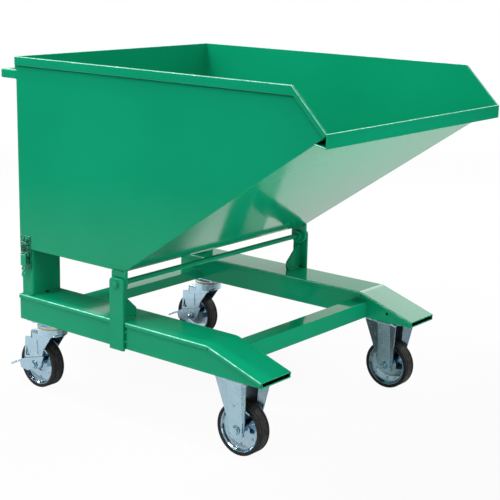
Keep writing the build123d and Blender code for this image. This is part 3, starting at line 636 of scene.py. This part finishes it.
def chassis_welds(side, sign):
    """Beads where bars, gussets, posts and cross members meet the beams."""
    web = sign * inner_outer(f"beam_tray_{side}")[1]
    top = span(f"post_{side}")[0].z
    runs = []
    bar_low, bar_high = span(f"pivot_bar_{side}")
    for edge, ahead in ((bar_low.x, -1), (bar_high.x, 1)):
        for height in BAR_WELDS:
            start, end = (edge, web, height - BAR_WELD_HALF), (edge, web, height + BAR_WELD_HALF)
            runs.append((start, end, BAR_WELD_SIZE, (ahead, sign, 0)))

    gusset_low, gusset_high = span(f"gusset_{side}")
    inner, outer = inner_outer(f"gusset_{side}")
    for face, ahead in ((gusset_low.x, -1), (gusset_high.x, 1)):
        start, end = (face, sign * (inner + GUSSET_ROUND), top), (face, sign * (outer - GUSSET_END), top)
        runs.append((start, end, WELD_SIZE, (ahead, 0, 1)))
        start, end = (face, web, top + GUSSET_FOOT), (face, web, gusset_high.z - GUSSET_TOP)
        runs.append((start, end, WELD_SIZE, (ahead, -sign, 0)))

    post_low, post_high = span(f"post_{side}")
    inner, outer = inner_outer(f"post_{side}")
    rear, front = post_low.x + POST_ROUND, post_high.x - POST_ROUND
    for face, heading in ((outer, sign), (inner, -sign)):
        runs.append(((rear, sign * face, top), (front, sign * face, top), WELD_SIZE, (0, heading, 1)))
    notch = (inner + outer) / 2
    sides = (outer - POST_FRONT_ROUND, notch + NOTCH_HALF), (notch - NOTCH_HALF, inner + POST_FRONT_ROUND)
    for first, last in sides:
        start, end = (post_high.x, sign * first, top), (post_high.x, sign * last, top)
        runs.append((start, end, WELD_SIZE, (1, 0, 1)))

    for cross in ("cross_front", "cross_rear"):
        low, high = span(cross)
        foot_y, foot_z = sign * high.y, low.z + CROSS_FOOT
        outline = (low.x, foot_z), (low.x, high.z), (high.x, high.z), (high.x, foot_z)
        corners = [(x, foot_y, z) for x, z in outline]
        headings = ((-1, -sign, 0), (0, -sign, 1), (1, -sign, 0))
        for start, end, heading in zip(corners, corners[1:], headings):
            runs.append((start, end, WELD_SIZE, heading))
    piece(f"chassis_welds_{side}", [bead(*run) for run in runs], "chassis", WELD)


def tub_welds(side, sign):
    """Beads along the tub's inner corners, the pivot lug and the end of the push handle."""
    floor_low, floor_high = span("tub_floor")
    slope_low, slope_high = span("tub_slope")
    rear_high = span("tub_rear")[1]
    wall = sign * inner_outer(f"tub_side_{side}")[0]
    rear_corner, front_corner = (rear_high.x, wall, floor_high.z), (slope_low.x, wall, floor_high.z)
    rear_top = (rear_high.x, wall, rear_high.z - TUB_WELD_TOP)
    slope_top = (slope_high.x, wall, slope_high.z)
    runs = [
        (rear_corner, rear_top, TUB_WELD, (1, -sign, 0), TUB_WELD_STEP),
        (rear_corner, front_corner, TUB_WELD, (0, -sign, 1), TUB_WELD_STEP),
        (front_corner, slope_top, TUB_WELD, (0, -sign, 1), TUB_WELD_STEP),
    ]

    lug_rear, lug_outer = span(f"pivot_lug_{side}")[0].x, inner_outer(f"pivot_lug_{side}")[1]
    face = sign * (lug_outer - LUG)
    start, end = (lug_rear, face, floor_low.z), (slope_low.x, face, floor_low.z)
    runs.append((start, end, WELD_SIZE, (0, -sign, -1)))
    face = sign * lug_outer
    start, end = (lug_rear + LUG_WELD_START, face, floor_low.z), (slope_low.x, face, floor_low.z)
    runs.append((start, end, LUG_WELD, (0, sign, -1)))

    low, high = span("push_handle")
    outer, inner = sign * high.y, sign * (high.y - (high.z - low.z))
    outline = (outer, high.z), (inner, high.z), (inner, low.z), (outer, low.z)
    corners = [(high.x, y, z) for y, z in outline]
    headings = ((-1, 0, 1), (-1, -sign, 0), (-1, 0, -1))
    for start, end, heading in zip(corners, corners[1:], headings):
        runs.append((start, end, HANDLE_WELD, heading))
    piece(f"tub_welds_{side}", [bead(*run) for run in runs], "tub", WELD)


for side, sign in (("left", 1), ("right", -1)):
    wheel_pieces("front", side, sign, "chassis")
    wheel_pieces("rear", side, sign, f"swivel_{side}")
    caster_pieces(side)
    pedal_ribs(side)
    latch_pieces(side, sign)
    chassis_welds(side, sign)
    tub_welds(side, sign)

# Stage: a white floor that ends in a darker studio, has painted shadow under and beside the cart and is
# darker ahead of it, a white backdrop behind it, and soft light. The camera sees the floor nearly white
# all over.
SHEET_MIDDLE, SHEET_EDGE, SHEET_END = (-0.6, 0.8, 0.0), 2.8, 4.4
SHEET_TONE, STUDIO_TONE, SHEET_WHITE = 0.6, 0.08, 0.95
AHEAD_TONE, AHEAD_EDGE, AHEAD_END = 0.3, 0.3, 0.75
FLOOR_HALF = 30.0
# Each patch of painted shadow: its middle, its size, where it begins and ends to fade, and its tone
SHADES = (
    ((-0.3, 0.15, 0.0), (0.42, 0.3, 1.0), 0.85, 1.3, 0.2),
    ((-0.5, -0.75, 0.0), (0.9, 0.6, 1.0), 0.3, 1.3, 0.75),
)
CARD_X, CARD_Y, CARD_Z, CARD_TONE = -0.62, (-0.44, 0.12), (0.27, 0.46), 0.12
WHITE = (1.0, 1.0, 1.0, 1.0)


def flat_sheet(name, points, material):
    """A flat four-cornered sheet of the stage."""
    mesh = bpy.data.meshes.new(name)
    mesh.from_pydata(points, [], [(0, 1, 2, 3)])
    mesh.materials.append(material)
    item = bpy.data.objects.new(name, mesh)
    scene.collection.objects.link(item)
    return item


def floor_material():
    """Pale floor whose tone fades outwards, with painted shadow under and beside the cart, and that shows
    the camera a near-white sheet.
    """
    made = Shader("floor")
    made.set(Roughness=0.9, Specular_IOR_Level=0.1)
    from_sheet = made.reach(SHEET_MIDDLE)
    tone = made.spread(from_sheet, SHEET_TONE, STUDIO_TONE, SHEET_EDGE, SHEET_END)
    for centre, size, edge, end, shade in SHADES:
        tone = made.times(tone, made.spread(made.reach(centre, size), shade, 1.0, edge, end))
    across = made.nodes.new("ShaderNodeSeparateXYZ")
    made.links.new(made.place, across.inputs["Vector"])
    ahead = made.spread(across.outputs["X"], 1.0, AHEAD_TONE, AHEAD_EDGE, AHEAD_END)
    made.feed(made.times(tone, ahead), "Base Color")

    glow = made.nodes.new("ShaderNodeEmission")
    glow.inputs["Color"].default_value = WHITE
    whiteness = made.spread(from_sheet, SHEET_WHITE, 1.0, SHEET_EDGE, SHEET_END)
    seen = made.nodes.new("ShaderNodeLightPath").outputs["Is Camera Ray"]
    blend = made.nodes.new("ShaderNodeMixShader")
    made.links.new(made.times(seen, whiteness), blend.inputs["Fac"])
    made.links.new(made.shader.outputs["BSDF"], blend.inputs[1])
    made.links.new(glow.outputs["Emission"], blend.inputs[2])
    made.links.new(blend.outputs["Shader"], made.nodes["Material Output"].inputs["Surface"])
    return made.material


def card_material():
    """Dull dark card, seen only in gloss as a painted dark reflection."""
    made = Shader("card")
    made.set(Base_Color=(CARD_TONE, CARD_TONE, CARD_TONE, 1.0), Roughness=1.0, Specular_IOR_Level=0.0)
    return made.material


corners = ((-1, -1), (1, -1), (1, 1), (-1, 1))
floor_points = [(sx * FLOOR_HALF, sy * FLOOR_HALF, 0.0) for sx, sy in corners]
floor = flat_sheet("floor", floor_points, floor_material())

# A dark card behind the cart shows only in gloss, as a painted dark reflection in surfaces such as the
# near beam's top
card_points = [(CARD_X, CARD_Y[sy > 0], CARD_Z[sz > 0]) for sy, sz in corners]
card = flat_sheet("card", card_points, card_material())
card.visible_camera = card.visible_diffuse = card.visible_shadow = False

# World: white to the camera, to gloss a room with a brighter backdrop, and an even fill to the rest
BACKDROP, BACKDROP_EDGE, BACKDROP_FULL = Vector((-0.627, 0.779, 0.0)), 0.45, 0.8
SEEN_LIGHT, FILL_LIGHT, ROOM_LIGHT, BACKDROP_LIGHT = 1.0, 0.85, 0.5, 1.3
world = bpy.data.worlds.new("studio")
scene.world = world
world.use_nodes = True
nodes, links = world.node_tree.nodes, world.node_tree.links


def background(strength):
    """White light of some strength."""
    node = nodes.new("ShaderNodeBackground")
    node.inputs["Color"].default_value = WHITE
    node.inputs["Strength"].default_value = strength
    return node.outputs["Background"]


def either(share, first, second):
    """Shows the second background for the share of rays, and the first for the rest."""
    node = nodes.new("ShaderNodeMixShader")
    links.new(share, node.inputs["Fac"])
    links.new(first, node.inputs[1])
    links.new(second, node.inputs[2])
    return node.outputs["Shader"]


heading = nodes.new("ShaderNodeVectorMath")
heading.operation = "DOT_PRODUCT"
heading.inputs[1].default_value = BACKDROP
links.new(nodes.new("ShaderNodeTexCoord").outputs["Generated"], heading.inputs[0])
behind = nodes.new("ShaderNodeMapRange")
behind.inputs["From Min"].default_value = BACKDROP_EDGE
behind.inputs["From Max"].default_value = BACKDROP_FULL
links.new(heading.outputs["Value"], behind.inputs["Value"])
rays = nodes.new("ShaderNodeLightPath")
room = either(behind.outputs["Result"], background(ROOM_LIGHT), background(BACKDROP_LIGHT))
lit = either(rays.outputs["Is Glossy Ray"], background(FILL_LIGHT), room)
shown = either(rays.outputs["Is Camera Ray"], lit, background(SEEN_LIGHT))
links.new(shown, nodes["World Output"].inputs["Surface"])


def lamp(name, place, aim, size, power, depth=None, mirrored=True):
    """A soft lamp aimed at a point, square or a strip of some depth, that shows in gloss if mirrored."""
    data = bpy.data.lights.new(name, "AREA")
    data.shape = "RECTANGLE"
    data.size = size
    data.size_y = depth or size
    data.energy = power
    item = bpy.data.objects.new(name, data)
    item.location = place
    item.visible_camera = False
    item.visible_glossy = mirrored
    item.rotation_euler = (Vector(aim) - Vector(place)).to_track_quat("-Z", "Y").to_euler()
    scene.collection.objects.link(item)


lamp("key", (-2.2, -0.7, 3.2), (-2.2, -0.7, 0.0), 3.0, 70.0, depth=0.12)
lamp("front", (-1.4, -3.4, 3.6), (0.0, 0.0, 0.6), 0.9, 60.0)
lamp("top", (0.7, -1.4, 3.3), (0.0, 0.1, 0.7), 1.2, 33.0)
lamp("back", (-0.8, 3.8, 2.9), (0.2, 0.0, 0.4), 2.6, 80.0)
lamp("low", (3.2, -1.3, 0.4), (0.2, 0.1, 0.5), 1.4, 7.0)
lamp("bounce", (1.2, -0.1, 0.03), (1.2, -0.1, 1.0), 0.9, 16.0, mirrored=False)
lamp("under", (0.05, -0.1, 0.02), (0.0, 0.3, 0.35), 0.4, 1.3, mirrored=False)
